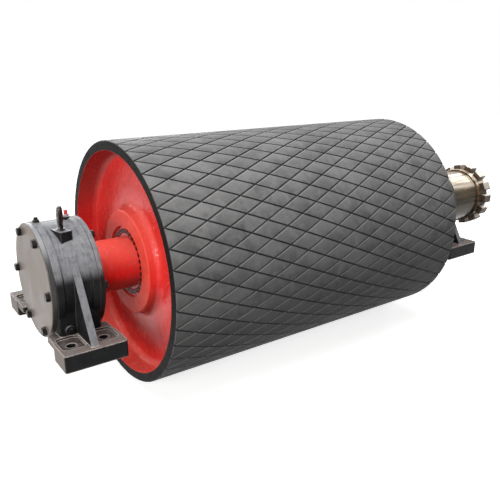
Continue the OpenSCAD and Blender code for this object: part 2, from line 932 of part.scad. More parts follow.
module coupling_hub() {
    color("darkgoldenrod") on_shaft()
        difference() {
            turned([[coupling_start, 0], [coupling_start, coupling_r - 6],
                [coupling_start + 6, coupling_r], [collar_x, coupling_r], [collar_x, coupling_r + 9],
                [collar_x + 3, coupling_r + 12], [collar_x + collar_w, coupling_r + 12],
                [collar_x + collar_w, coupling_r - 8], [crown_x, coupling_r - 8],
                [crown_x, crown_bore_r - seat_gap], [drive_end_x - 22, crown_bore_r - seat_gap],
                [drive_end_x - 22, 0]]);
            coupling_bore();
            around(lugs_round, lug_start)
                translate([0, 0, screw_ring_r]) bar(crown_x - screw_grip, crown_x + cut, 6, $fn = fine_fn);
        }
}

lug_root = 8;
screw_ring_r = crown_bore_r + 17;
screw_grip = 22;

module lug_slots(grow) {
    around(lugs_round, lug_start)
        translate([crown_x - cut, -lug_w / 2 - grow, crown_r - lug_root - grow])
            cube([crown_w + 2 * cut, lug_w + 2 * grow, lug_circle_d]);
}

module coupling_crown() {
    color("peru") on_shaft()
        difference() {
            ring(crown_x, drive_end_x, crown_r, crown_bore_r);
            lug_slots(seat_gap);
            around(lugs_round, lug_start)
                translate([0, 0, screw_ring_r]) {
                    bar(crown_x - cut, drive_end_x + cut, 6.5, $fn = fine_fn);
                    bar(drive_end_x - 10, drive_end_x + cut, 11, $fn = fine_fn);
                }
        }
}

module lug() {
    top = lug_circle_d / 2;
    translate([crown_x, 0, crown_r - lug_root])
        rotate([90, 0, 90]) linear_extrude(lug_len)
            polygon([[-lug_w / 2, 0], [lug_w / 2, 0], [lug_w / 2, top - crown_r + lug_root - 4],
                [lug_w / 2 - 4, top - crown_r + lug_root], [-lug_w / 2 + 4, top - crown_r + lug_root],
                [-lug_w / 2, top - crown_r + lug_root - 4]]);
}

module coupling_lugs() {
    color("tan") on_shaft() around(lugs_round, lug_start) lug();
}

module crown_screw() {
    difference() {
        union() {
            bar(drive_end_x - 10, drive_end_x + 2, 10, $fn = fine_fn);
            bar(crown_x - screw_grip + 4, drive_end_x - 9, 6 - seat_gap, $fn = fine_fn);
        }
        translate([drive_end_x - 5, 0, 0]) rotate([0, 90, 0]) hexagon_prism(10, 10);
    }
}

module crown_screws() {
    color("dimgray") on_shaft() around(lugs_round, lug_start) translate([0, 0, screw_ring_r]) crown_screw();
}

module drive_key() {
    color("silver") on_shaft()
        translate([key_x0 + 0.1, -key_w / 2 + seat_gap, drive_d / 2 - key_h * 0.6 + seat_gap])
            cube([key_len - 0.2, key_w - 2 * seat_gap, key_h]);
}

module end_plate() {
    color("silver") on_shaft()
        difference() {
            turned([[drive_end_x - plate_recess, 0], [drive_end_x - plate_recess, drive_d / 2 - 6],
                [drive_end_x - plate_recess + end_plate_t, drive_d / 2 - 6],
                [drive_end_x - plate_recess + end_plate_t, 0]]);
            around(3)
                translate([0, 0, drive_d / 2 * 0.55])
                    bar(drive_end_x - 20, drive_end_x + 40, cover_bolt_d / 2 + bolt_gap, $fn = fine_fn);
        }
}

module end_plate_screws() {
    face = drive_end_x - plate_recess + end_plate_t;
    color("black") on_shaft() around(3)
        translate([0, 0, drive_d / 2 * 0.55]) {
            translate([face, 0, 0]) rotate([0, 90, 0]) hexagon_prism(head_af, head_h);
            bar(face - end_plate_t - thread_depth + 6, face + cut, cover_bolt_d / 2 - 1 - seat_gap,
                $fn = fine_fn);
        }
}

lagging_idle_sheet();
lagging_middle_sheet();
lagging_drive_sheet();
drum_shell();
shell_welds();
end_disc_idle();
end_disc_drive();
shaft();
lock_outer_rings();
lock_inner_rings();
lock_front_rings();
lock_rear_rings();
lock_screws();
housing_idle();
housing_drive();
end_cover_idle();
outer_cover_drive();
inner_cover_idle();
inner_cover_drive();
cover_gaskets();
cover_bolts();
cover_washers();
lip_seals();
labyrinth_rings();
locating_rings();
outer_race_idle();
outer_race_drive();
inner_race_idle();
inner_race_drive();
rollers_idle();
rollers_drive();
cage_idle();
cage_drive();
lock_nuts();
lock_washers();
lifting_eyes();
grease_nipples();
nipple_caps();
top_plugs();
drain_plugs();
coupling_hub();
coupling_crown();
coupling_lugs();
crown_screws();
drive_key();
end_plate();
end_plate_screws();
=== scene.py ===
import json
import math

import bpy
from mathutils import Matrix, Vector


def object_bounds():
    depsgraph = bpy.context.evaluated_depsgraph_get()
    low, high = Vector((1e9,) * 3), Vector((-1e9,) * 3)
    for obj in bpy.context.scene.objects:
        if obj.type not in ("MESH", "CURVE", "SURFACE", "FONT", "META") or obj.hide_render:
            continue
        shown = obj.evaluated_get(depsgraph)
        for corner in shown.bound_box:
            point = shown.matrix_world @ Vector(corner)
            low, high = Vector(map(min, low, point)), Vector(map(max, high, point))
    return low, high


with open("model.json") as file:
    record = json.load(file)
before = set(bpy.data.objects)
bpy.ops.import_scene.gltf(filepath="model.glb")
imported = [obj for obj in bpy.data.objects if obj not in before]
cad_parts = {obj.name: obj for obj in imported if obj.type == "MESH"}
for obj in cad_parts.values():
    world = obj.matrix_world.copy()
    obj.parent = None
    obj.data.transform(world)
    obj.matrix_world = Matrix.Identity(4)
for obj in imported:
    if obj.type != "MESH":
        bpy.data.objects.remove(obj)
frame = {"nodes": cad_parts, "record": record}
cad_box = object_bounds()

# The part's own measures, in metres.
SHAFT_Z = 0.235
DRUM_X = 1.050
FACE = 1.600
LAG_R = 0.515
PADS_ROUND = 42
PADS_ALONG = 18
LOCK_R = 0.155
BOSS_R = 0.223
RIM_R = 0.475
COVER_R = 0.228
FOOT_TOP = 0.066
TRAY_DEPTH = 0.010

# The photograph's camera.
CAMERA_AZIMUTH = -35.42
CAMERA_ELEVATION = 17.89
CAMERA_TARGET = (0.9372, 0.0, 0.1660)
CAMERA_DISTANCE = 2.869
CAMERA_LENS = 41.92
CAMERA_SENSOR = 36.0
CAMERA_CLIP_END = 60.0

# The floor: its gap under the part, its reach, and the radii between which its glow rises to white.
FLOOR_GAP = 0.004
FLOOR_HALF_SIZE = 14.0
FLOOR_NEAR, FLOOR_FAR = 2.4, 6.0
FLOOR_NEAR_GLOW, FLOOR_FAR_GLOW = 0.76, 1.0
FLOOR_SEEN_GREY = 0.60
FLOOR_LIGHTING_GREY = 0.10
SKY_LIGHTING = 0.10

# Name, centre, aim, panes across and up, size of a pane, pitch of the panes, radiance and colour.
WINDOWS = (
    ("skylight", (0.55, -0.5, 3.7), (DRUM_X, 0.0, SHAFT_Z),
     (4, 3), (0.62, 0.42), (0.86, 0.74), 15.5, (1.0, 0.99, 0.98)),
    ("left_window", (-3.3, -1.5, 1.35), (0.1, 0.0, 0.25),
     (4, 2), (0.26, 0.28), (0.50, 0.52), 34.0, (1.0, 0.95, 0.90)),
    ("corner_window", (-2.3, -3.2, 1.7), (0.25, 0.0, 0.25),
     (3, 2), (0.36, 0.42), (0.72, 0.82), 27.0, (1.0, 0.98, 0.96)),
    ("front_window", (3.2, -3.4, 2.3), (0.9, 0.0, 0.3),
     (3, 1), (0.62, 1.1), (0.86, 1.0), 1.4, (0.96, 0.98, 1.0)),
    ("right_window", (5.3, 0.4, 1.6), (2.0, 0.0, 0.25),
     (3, 2), (0.50, 0.50), (0.72, 0.72), 17.0, (1.0, 0.99, 0.98)),
    ("back_window", (0.9, 4.0, 2.0), (0.9, 0.0, 0.25),
     (4, 1), (0.70, 0.80), (0.95, 1.0), 12.0, (0.98, 0.99, 1.0)),
)


# ---- camera ----

def make_camera():
    azimuth, elevation = math.radians(CAMERA_AZIMUTH), math.radians(CAMERA_ELEVATION)
    away = Vector((math.sin(azimuth) * math.cos(elevation),
                   -math.cos(azimuth) * math.cos(elevation),
                   math.sin(elevation)))
    data = bpy.data.cameras.new("camera")
    data.lens = CAMERA_LENS
    data.sensor_width = CAMERA_SENSOR
    data.clip_end = CAMERA_CLIP_END
    camera = bpy.data.objects.new("camera", data)
    bpy.context.scene.collection.objects.link(camera)
    camera.location = Vector(CAMERA_TARGET) + away * CAMERA_DISTANCE
    camera.rotation_euler = (-away).to_track_quat("-Z", "Y").to_euler()
    bpy.context.scene.camera = camera


# ---- material helpers ----

class Nodes:
    """One material: a Principled shader, the nodes that feed it and the colour laid on so far."""

    def __init__(self, name, **uniform):
        self.mat = bpy.data.materials.new(name)
        self.mat.use_nodes = True
        self.tree = self.mat.node_tree
        self.tree.nodes.clear()
        output = self.tree.nodes.new("ShaderNodeOutputMaterial")
        self.bsdf = self.tree.nodes.new("ShaderNodeBsdfPrincipled")
        self.link(self.bsdf.outputs["BSDF"], output.inputs["Surface"])
        for key, value in uniform.items():
            self.bsdf.inputs[key.replace("_", " ")].default_value = value
        self.coords = self.tree.nodes.new("ShaderNodeTexCoord").outputs["Object"]
        self.colour = None

    def link(self, source, socket):
        self.tree.links.new(source, socket)

    def put(self, socket, value):
        """Sets a socket to a number or a colour, or links another node's output to it."""
        if isinstance(value, (int, float)):
            socket.default_value = value
        elif isinstance(value, tuple):
            socket.default_value = value + (1.0,)
        else:
            self.link(value, socket)

    def feed(self, name, source):
        self.link(source, self.bsdf.inputs[name])

    def math(self, operation, a, b=0.0, clamp=False):
        node = self.tree.nodes.new("ShaderNodeMath")
        node.operation = operation
        node.use_clamp = clamp
        self.put(node.inputs[0], a)
        self.put(node.inputs[1], b)
        return node.outputs[0]

    def plus(self, a, b):
        return self.math("ADD", a, b)

    def minus(self, a, b):
        return self.math("SUBTRACT", a, b)

    def times(self, product, *factors):
        for factor in factors:
            product = self.math("MULTIPLY", product, factor)
        return product

    def ramp(self, value, low, high, to_low=0.0, to_high=1.0):
        """A smooth step from to_low at low to to_high at high."""
        node = self.tree.nodes.new("ShaderNodeMapRange")
        node.interpolation_type = "SMOOTHSTEP"
        limits = (("From Min", low), ("From Max", high), ("To Min", to_low), ("To Max", to_high))
        for key, limit in limits:
            node.inputs[key].default_value = limit
        self.put(node.inputs["Value"], value)
        return node.outputs["Result"]

    def noise(self, scale, detail, rough, stretch=None, shift=(0, 0, 0), distortion=0.0):
        """Noise in the part's own coordinates, which stretch multiplies before shift moves them."""
        node = self.tree.nodes.new("ShaderNodeTexNoise")
        node.inputs["Scale"].default_value = scale
        node.inputs["Detail"].default_value = detail
        node.inputs["Roughness"].default_value = rough
        node.inputs["Distortion"].default_value = distortion
        vector = self.coords
        if stretch:
            mapped = self.tree.nodes.new("ShaderNodeMapping")
            mapped.inputs["Scale"].default_value = stretch
            mapped.inputs["Location"].default_value = shift
            self.link(vector, mapped.inputs["Vector"])
            vector = mapped.outputs[0]
        self.link(vector, node.inputs["Vector"])
        return node.outputs["Fac"]

    def mix(self, factor, a, b):
        node = self.tree.nodes.new("ShaderNodeMix")
        node.data_type = "RGBA"
        self.put(node.inputs["Factor"], factor)
        self.put(node.inputs[6], a)
        self.put(node.inputs[7], b)
        return node.outputs[2]

    def layer(self, mask, strength, colour):
        """Lays a colour over the present one where the mask is, as strongly as strength says."""
        factor = mask if strength == 1.0 else self.times(mask, strength)
        self.colour = self.mix(factor, self.colour, colour)

    def bump(self, height, strength, distance, normal=None):
        node = self.tree.nodes.new("ShaderNodeBump")
        node.inputs["Strength"].default_value = strength
        node.inputs["Distance"].default_value = distance
        self.link(height, node.inputs["Height"])
        if normal is not None:
            self.link(normal, node.inputs["Normal"])
        return node.outputs["Normal"]

    def rounded(self, radius):
        """The surface's normal, turned over the last radius metres to an edge."""
        node = self.tree.nodes.new("ShaderNodeBevel")
        node.samples = 6
        node.inputs["Radius"].default_value = radius
        return node.outputs[0]

    def edge(self, radius, low=0.02, high=0.16):
        """0 on a flat, 1 within about radius metres of an outer or inner edge."""
        geometry = self.tree.nodes.new("ShaderNodeNewGeometry")
        dot = self.tree.nodes.new("ShaderNodeVectorMath")
        dot.operation = "DOT_PRODUCT"
        self.link(self.rounded(radius), dot.inputs[0])
        self.link(geometry.outputs["Normal"], dot.inputs[1])
        return self.ramp(self.minus(1.0, dot.outputs["Value"]), low, high)

    def facing(self, axis):
        """How far the surface faces along a world axis: 1 along it, -1 against it."""
        geometry = self.tree.nodes.new("ShaderNodeNewGeometry")
        split = self.tree.nodes.new("ShaderNodeSeparateXYZ")
        self.link(geometry.outputs["Normal"], split.inputs[0])
        return split.outputs[axis]

    def place(self):
        """A point's x, y and z in the part's own coordinates."""
        split = self.tree.nodes.new("ShaderNodeSeparateXYZ")
        self.link(self.coords, split.inputs[0])
        return tuple(split.outputs)

    def shaft_radius(self):
        _, y, z = self.place()
        up = self.minus(z, SHAFT_Z)
        return self.math("SQRT", self.plus(self.times(y, y), self.times(up, up)))

    def pads(self):
        """The lagging pad under a point.

        Gives the pad's own tone from 0 to 1, and how far across the pad the point lies each way.
        """
        x, y, z = self.place()
        along = self.math("DIVIDE", self.minus(x, DRUM_X - FACE / 2), FACE / PADS_ALONG)
        turn = self.math("ARCTAN2", y, self.minus(z, SHAFT_Z))
        turn = self.math("DIVIDE", turn, math.pi / PADS_ROUND)
        rising = self.times(self.minus(along, turn), 0.5)
        falling = self.times(self.plus(along, turn), 0.5)
        row, column = self.math("FLOOR", falling), self.math("FLOOR", rising)
        cell = self.tree.nodes.new("ShaderNodeCombineXYZ")
        self.link(self.plus(row, column), cell.inputs[0])
        pad_round = self.math("FLOORED_MODULO", self.minus(row, column), 2.0 * PADS_ROUND)
        self.link(pad_round, cell.inputs[1])
        tone = self.tree.nodes.new("ShaderNodeTexWhiteNoise")
        self.link(cell.outputs[0], tone.inputs["Vector"])
        return tone.outputs["Value"], self.math("FRACT", falling), self.math("FRACT", rising)

    def finish(self, rough, normal):
        self.feed("Base Color", self.colour)
        self.feed("Roughness", rough)
        self.feed("Normal", normal)
        return self.mat


# ---- materials ----

def rubber():
    """Grey lagging: a tone for every pad, smudges, dust and scuffs, black cut ends, painted shade in the
    grooves and on faces turned down, and a painted highlight along one edge of each pad.
    """
    m = Nodes("lagging_rubber", Metallic=0.0, Specular_IOR_Level=0.06)
    radius = m.shaft_radius()
    tone, falling, rising = m.pads()
    blotch = m.ramp(m.noise(4.0, 4.0, 0.6), 0.30, 0.70)
    stain = m.ramp(m.noise(2.6, 4.0, 0.6, (1.4, 1.0, 1.0), (4.1, 2.2, 9.0), 0.4), 0.50, 0.66)
    lean = m.plus(m.times(rising, -0.5), m.times(falling, 0.5))
    cloud = m.ramp(m.noise(17.0, 5.0, 0.68, distortion=0.6), 0.38, 0.72)
    smudge = m.ramp(m.noise(11.0, 6.0, 0.72, (1.0, 1.0, 1.0), (7.3, 1.1, 4.2)), 0.54, 0.78)
    scuffs = m.ramp(m.noise(1.0, 3.0, 0.6, (9.0, 150.0, 150.0)), 0.62, 0.80)
    grain = m.ramp(m.noise(420.0, 2.0, 0.5), 0.42, 0.62)
    # Painted highlight: a pale line along one edge of each pad, where the rounded edge would catch the
    # light.
    pad_edge_highlight = m.times(m.ramp(rising, 0.105, 0.085), m.ramp(rising, 0.035, 0.050))
    # Painted shade: darker where the surface faces down.
    painted_underside_shade = m.ramp(m.facing("Z"), 0.10, -0.60, 0.0, 0.42)
    # Painted shade down in the grooves, and deeper in one of the two crossing families of them.
    groove_shade = m.ramp(radius, LAG_R - 0.0040, LAG_R - 0.0006, 1.0, 0.0)
    steep_groove_shade = m.math("MAXIMUM", m.ramp(falling, 0.06, 0.02), m.ramp(falling, 0.94, 0.98))
    cut_end = m.ramp(m.math("ABSOLUTE", m.facing("X")), 0.80, 0.92)

    m.colour = m.mix(blotch, (0.104, 0.104, 0.105), (0.176, 0.176, 0.177))
    m.layer(stain, 0.62, (0.052, 0.052, 0.053))
    m.layer(m.ramp(tone, 0.0, 1.0, 0.0, 0.62), 1.0, (0.086, 0.086, 0.087))
    m.layer(m.ramp(lean, -0.45, 0.45, 0.0, 0.42), 1.0, (0.255, 0.255, 0.257))
    m.layer(cloud, 0.46, (0.255, 0.255, 0.256))
    m.layer(smudge, 0.70, (0.050, 0.050, 0.051))
    m.layer(scuffs, 0.22, (0.27, 0.27, 0.27))
    m.layer(grain, 0.16, (0.075, 0.075, 0.075))
    m.layer(pad_edge_highlight, 0.45, (0.36, 0.36, 0.36))
    m.layer(painted_underside_shade, 1.0, (0.045, 0.045, 0.046))
    m.layer(groove_shade, m.ramp(steep_groove_shade, 0.0, 1.0, 0.55, 0.88), (0.028, 0.028, 0.029))
    m.layer(cut_end, 0.95, (0.010, 0.010, 0.011))

    lumps = m.bump(m.noise(60.0, 3.0, 0.6), 0.28, 0.0012)
    return m.finish(m.ramp(cloud, 0.0, 1.0, 0.56, 0.72),
                    m.bump(m.noise(900.0, 2.0, 0.6), 0.25, 0.0004, lumps))


def red_paint(name, deep, bright, disc=False):
    """Glossy red paint with orange peel and dust, a painted sheen on top and on faces turned to the idle
    end, and painted shade on faces turned down. An end disc has a duller boss with a painted pale
    reflection on it, and a black rim face.
    """
    m = Nodes(name, Metallic=0.0, Specular_IOR_Level=0.05,
              Coat_Weight=0.30, Coat_Roughness=0.05, Coat_IOR=1.5)
    wash = m.ramp(m.noise(6.0, 3.0, 0.6), 0.3, 0.72)
    streak = m.ramp(m.noise(1.0, 4.0, 0.65, (60.0, 5.0, 5.0)), 0.50, 0.74)
    dust = m.ramp(m.noise(34.0, 6.0, 0.72), 0.52, 0.76)
    # Partly dust, partly a painted sheen: a pale pink film that grows as the surface faces up.
    dust_and_painted_sheen = m.times(m.plus(0.40, m.times(dust, 0.5)), m.ramp(m.facing("Z"), -0.20, 0.85, 0.12, 0.95))
    # Painted sheen: pale pink on faces turned to the idle end, where the light falls.
    painted_left_sheen = m.times(m.ramp(m.facing("X"), -0.55, -0.95), m.ramp(dust, 0.0, 1.0, 0.04, 0.38))
    # Painted shade: a dull brown on faces turned down, for the dark reflection under the part.
    painted_underside_shade = m.ramp(m.facing("Z"), -0.04, -0.60, 0.0, 0.72)
    grime = m.ramp(m.noise(12.0, 5.0, 0.7, (1.0, 1.0, 1.0), (3.1, 8.4, 1.7)), 0.60, 0.80)
    rough = m.ramp(dust, 0.0, 1.0, 0.26, 0.46)

    m.colour = m.mix(wash, deep, bright)
    m.layer(streak, 0.14, (0.86, 0.14, 0.11))
    m.layer(dust_and_painted_sheen, 1.0, (0.98, 0.270, 0.205))
    m.layer(painted_left_sheen, 1.0, (0.95, 0.150, 0.125))
    m.layer(painted_underside_shade, 1.0, (0.22, 0.052, 0.044))
    m.layer(grime, 0.30, (0.22, 0.022, 0.018))
    if disc:
        radius = m.shaft_radius()
        boss = m.times(m.ramp(radius, BOSS_R + 0.001, BOSS_R - 0.0015),
                       m.ramp(radius, LOCK_R - 0.005, LOCK_R + 0.001))
        fillet = m.times(m.ramp(radius, BOSS_R + 0.001, BOSS_R + 0.009),
                         m.ramp(radius, BOSS_R + 0.107, BOSS_R + 0.057))
        rim_face = m.ramp(radius, RIM_R - 0.0002, RIM_R + 0.0012)
        # Painted reflection: a pale pink on the boss face for the white surroundings mirrored in it; the
        # rougher, thinner-coated finish set below is the boss's own.
        m.layer(boss, m.ramp(m.noise(26.0, 5.0, 0.7), 0.30, 0.70, 0.35, 0.85), (0.92, 0.125, 0.085))
        m.layer(rim_face, 1.0, (0.010, 0.010, 0.010))
        rough = m.plus(rough, m.times(boss, 0.20))
        rough = m.math("ADD", rough, m.times(rim_face, 0.30), clamp=True)
        gloss = m.plus(0.24, m.times(fillet, 0.28))
        dull = m.math("MAXIMUM", rim_face, m.times(boss, 0.75))
        m.feed("Coat Weight", m.times(gloss, m.ramp(dull, 0.0, 1.0, 1.0, 0.06)))

    normal = m.bump(m.noise(15.0, 2.0, 0.45), 0.30, 0.008)
    normal = m.bump(m.noise(64.0, 3.0, 0.55), 0.75, 0.0036, normal)
    normal = m.bump(m.noise(240.0, 2.0, 0.5), 0.16, 0.0005, normal)
    m.feed("Coat Normal", normal)
    return m.finish(rough, normal)


def cast_paint():
    """Near-black paint on the castings: a pale bluish film on top that is partly dust and partly a
    painted sheen, brown dirt on the feet and in their trays, and painted warm light on the feet's end
    faces.
    """
    m = Nodes("dark_casting_paint", Metallic=0.0, Specular_IOR_Level=0.08)
    _, _, height = m.place()
    up = m.facing("Z")
    spots = m.noise(42.0, 6.0, 0.72)
    fine = m.noise(210.0, 4.0, 0.65)
    foot = m.ramp(height, FOOT_TOP + 0.0005, FOOT_TOP + 0.0040, 1.0, 0.0)
    patch = m.ramp(spots, 0.30, 0.58, 0.66, 1.0)
    scratch = m.ramp(m.noise(1.0, 4.0, 0.7, (140.0, 24.0, 24.0)), 0.30, 0.70, 0.72, 1.0)
    # Partly dust, partly a painted sheen: a pale bluish film on faces turned up.
    dust_and_sheen_veil = m.times(m.ramp(up, 0.14, 0.36), patch, scratch)
    dirt = m.times(m.ramp(up, 0.70, 0.98), foot, m.ramp(spots, 0.34, 0.58, 0.62, 0.97))
    dirt_colour = m.mix(m.ramp(fine, 0.38, 0.62), (0.105, 0.086, 0.078), (0.175, 0.146, 0.132))
    tray = m.times(dirt, m.ramp(height, FOOT_TOP - 0.0020, FOOT_TOP - TRAY_DEPTH + 0.0015))
    end_face = m.ramp(m.times(m.math("ABSOLUTE", m.facing("X")), foot), 0.80, 0.97)
    # Painted light: a pale warm brown on the feet's end faces, where light from the side falls.
    end_face_painted_light = m.times(end_face, m.ramp(spots, 0.30, 0.62, 0.50, 0.92))
    worn = m.times(m.edge(0.0075, 0.01, 0.12), m.ramp(spots, 0.30, 0.58, 0.45, 1.0))

    m.colour = m.mix(m.ramp(m.noise(14.0, 4.0, 0.6), 0.3, 0.7),
                     (0.0080, 0.0085, 0.0090), (0.0160, 0.0170, 0.0180))
    m.layer(m.ramp(fine, 0.60, 0.72), 0.30, (0.060, 0.058, 0.057))
    m.layer(dust_and_sheen_veil, 0.92, (0.262, 0.272, 0.292))
    m.layer(dirt, 1.0, dirt_colour)
    m.layer(tray, m.ramp(spots, 0.40, 0.56, 0.42, 0.94), (0.062, 0.051, 0.045))
    m.layer(end_face_painted_light, 1.0, (0.215, 0.178, 0.158))
    m.layer(worn, m.ramp(foot, 0.0, 1.0, 0.12, 0.92), (0.58, 0.52, 0.48))

    lumps = m.bump(m.noise(70.0, 4.0, 0.6), 0.35, 0.0022, m.rounded(0.004))
    return m.finish(m.ramp(spots, 0.3, 0.7, 0.30, 0.52), m.bump(fine, 0.40, 0.0008, lumps))


def plate_paint():
    """Mottled grey-brown paint on the covers' faces, which are dark round the side, with a painted sheen
    where the side faces up.
    """
    m = Nodes("cover_plate_paint", Metallic=0.0, Specular_IOR_Level=0.28)
    radius = m.shaft_radius()
    up = m.facing("Z")
    smear = m.ramp(m.noise(7.0, 5.0, 0.68, distortion=0.5), 0.3, 0.7)
    speck = m.ramp(m.noise(300.0, 3.0, 0.6), 0.52, 0.70)
    runs = m.ramp(m.noise(1.0, 4.0, 0.6, (8.0, 46.0, 3.0)), 0.55, 0.78)
    rim = m.ramp(radius, COVER_R - 0.0080, COVER_R - 0.0035)
    side = m.ramp(radius, COVER_R - 0.0014, COVER_R - 0.0006)
    # The same pale bluish film as on the castings, partly dust, partly a painted sheen, where the dark
    # side faces up.
    dust_and_sheen_veil = m.times(side, m.ramp(up, 0.45, 0.90))
    worn = m.times(m.edge(0.0024), m.ramp(speck, 0.0, 1.0, 0.55, 1.0))

    m.colour = m.mix(smear, (0.124, 0.095, 0.079), (0.238, 0.195, 0.167))
    m.layer(speck, 0.30, (0.15, 0.13, 0.12))
    m.layer(runs, 0.18, (0.42, 0.385, 0.360))
    m.layer(rim, 0.45, (0.15, 0.14, 0.135))
    m.layer(side, 0.85, (0.030, 0.031, 0.033))
    m.layer(dust_and_sheen_veil, 0.80, (0.262, 0.272, 0.292))
    m.layer(worn, m.ramp(up, -0.6, 0.3, 0.15, 0.80), (0.56, 0.55, 0.54))

    lumps = m.bump(m.noise(34.0, 3.0, 0.5), 0.20, 0.0020, m.rounded(0.004))
    return m.finish(m.ramp(smear, 0.0, 1.0, 0.30, 0.46),
                    m.bump(m.noise(260.0, 3.0, 0.6), 0.30, 0.0006, lumps))


def black_metal(name, side_painted_light=0.0):
    """Blackened steel, dusty on top, with a pale painted light, as strong as side_painted_light says,
    where it faces the idle end.
    """
    m = Nodes(name, Metallic=0.0, Specular_IOR_Level=0.12)
    dust = m.times(m.ramp(m.facing("Z"), 0.45, 0.95), m.ramp(m.noise(130.0, 5.0, 0.7), 0.36, 0.62))
    m.colour = m.mix(m.ramp(m.noise(90.0, 4.0, 0.6), 0.35, 0.7),
                     (0.007, 0.007, 0.008), (0.018, 0.0175, 0.018))
    m.layer(dust, 0.62, (0.20, 0.18, 0.165))
    if side_painted_light:
        # Painted light: pale on faces turned to the idle end, where the light falls.
        side = m.times(m.ramp(m.facing("X"), -0.35, -0.80), m.ramp(m.noise(95.0, 4.0, 0.7), 0.32, 0.60))
        m.layer(side, side_painted_light, (0.30, 0.28, 0.27))
    m.layer(m.edge(0.0010), 0.22, (0.13, 0.12, 0.115))
    return m.finish(m.ramp(m.noise(120.0, 3.0, 0.6), 0.3, 0.7, 0.24, 0.42),
                    m.bump(m.noise(500.0, 3.0, 0.6), 0.2, 0.0003))


def bright_steel():
    m = Nodes("machined_steel", Metallic=1.0)
    lathe = m.noise(1.0, 2.0, 0.5, (900.0, 6.0, 6.0))
    stain = m.ramp(m.noise(30.0, 5.0, 0.7), 0.55, 0.78)
    m.colour = m.mix(m.ramp(lathe, 0.3, 0.7), (0.40, 0.40, 0.40), (0.55, 0.545, 0.54))
    m.layer(stain, 0.35, (0.30, 0.26, 0.22))
    return m.finish(m.ramp(lathe, 0.3, 0.7, 0.34, 0.48), m.bump(lathe, 0.12, 0.0002))


def painted_ring():
    """Dark red paint, chipped, on the locking assemblies' rings."""
    m = Nodes("locking_ring_paint", Metallic=0.0, Specular_IOR_Level=0.15,
              Coat_Weight=0.2, Coat_Roughness=0.2)
    spots = m.noise(90.0, 5.0, 0.7)
    chips = m.ramp(m.noise(150.0, 4.0, 0.7, (1.0, 1.0, 1.0), (2.0, 5.0, 3.0)), 0.60, 0.74)
    m.colour = m.mix(m.ramp(spots, 0.32, 0.62), (0.30, 0.020, 0.018), (0.52, 0.050, 0.042))
    m.layer(chips, 0.7, (0.030, 0.020, 0.018))
    return m.finish(m.ramp(spots, 0.3, 0.7, 0.32, 0.52), m.bump(spots, 0.22, 0.0006))


def screw_black():
    """Black screws with a little red paint on them."""
    m = Nodes("locking_screw_black", Metallic=0.1, Specular_IOR_Level=0.4)
    spots = m.noise(180.0, 4.0, 0.7)
    m.colour = m.mix(m.ramp(spots, 0.34, 0.66), (0.040, 0.012, 0.011), (0.200, 0.024, 0.020))
    return m.finish(m.ramp(spots, 0.3, 0.7, 0.30, 0.48), m.bump(spots, 0.2, 0.0004))


def bronze():
    """Bronze-coloured coating with streaks that stand in for reflected bands, and a painted pale
    highlight band where the hub faces up and outwards.
    """
    m = Nodes("bronze_coupling", Metallic=0.12, Specular_IOR_Level=0.12)
    up = m.facing("Z")
    lathe = m.noise(1.0, 3.0, 0.6, (260.0, 5.0, 5.0))
    # Painted reflection: light and dark streaks along the hub, for the bands of the surroundings it would
    # mirror.
    reflection_bands = m.noise(1.0, 4.0, 0.7, (1.6, 30.0, 30.0))
    copper = m.ramp(m.noise(1.0, 4.0, 0.6, (5.0, 34.0, 34.0), (1.0, 2.0, 5.0)), 0.50, 0.68)
    grime = m.ramp(m.noise(46.0, 6.0, 0.72), 0.46, 0.72)
    # Painted highlight: a pale cream band where the hub faces up and outwards.
    painted_highlight = m.times(m.ramp(up, 0.42, 0.62), m.ramp(up, 0.97, 0.80, 0.35, 1.0),
                  m.ramp(reflection_bands, 0.36, 0.52, 0.30, 1.0))

    m.colour = m.mix(m.ramp(reflection_bands, 0.34, 0.66), (0.026, 0.021, 0.011), (0.120, 0.096, 0.056))
    m.layer(copper, m.ramp(up, -0.2, 0.6, 0.15, 0.75), (0.46, 0.20, 0.115))
    m.layer(grime, 0.55, (0.030, 0.017, 0.010))
    m.layer(painted_highlight, 0.90, (0.88, 0.76, 0.60))

    lumps = m.bump(m.noise(40.0, 3.0, 0.6), 0.15, 0.0012, m.rounded(0.002))
    return m.finish(m.ramp(grime, 0.0, 1.0, 0.20, 0.46), m.bump(lathe, 0.18, 0.0004, lumps))


def lug_metal():
    """Dark grimy lugs, pale on their edges, with pale dust and a painted highlight on top."""
    m = Nodes("coupling_lug_metal", Metallic=0.10, Specular_IOR_Level=0.30)
    grime = m.noise(55.0, 6.0, 0.72)
    # Partly dust, partly a painted highlight: a pale cream on every face turned up.
    dust = m.times(m.ramp(m.facing("Z"), -0.05, 0.50), m.ramp(grime, 0.30, 0.55, 0.50, 0.97))
    m.colour = m.mix(m.ramp(grime, 0.32, 0.62), (0.030, 0.014, 0.009), (0.095, 0.062, 0.042))
    m.layer(dust, 1.0, (0.66, 0.60, 0.52))
    m.layer(m.edge(0.0018), 0.5, (0.62, 0.56, 0.49))
    return m.finish(m.ramp(grime, 0.3, 0.7, 0.32, 0.55), m.bump(grime, 0.30, 0.0010))


def cage_brass():
    m = Nodes("cage_brass", Metallic=1.0)
    lathe = m.noise(1.0, 2.0, 0.5, (700.0, 9.0, 9.0))
    m.colour = m.mix(m.ramp(lathe, 0.3, 0.7), (0.56, 0.38, 0.14), (0.72, 0.53, 0.24))
    return m.finish(m.ramp(lathe, 0.3, 0.7, 0.25, 0.42), m.bump(lathe, 0.15, 0.0002))


def seal_rubber():
    m = Nodes("seal_rubber", Metallic=0.0)
    spots = m.noise(160.0, 4.0, 0.6)
    m.colour = m.mix(m.ramp(spots, 0.35, 0.7), (0.012, 0.012, 0.012), (0.030, 0.030, 0.031))
    return m.finish(m.ramp(spots, 0.3, 0.7, 0.45, 0.65), m.bump(spots, 0.2, 0.0004))


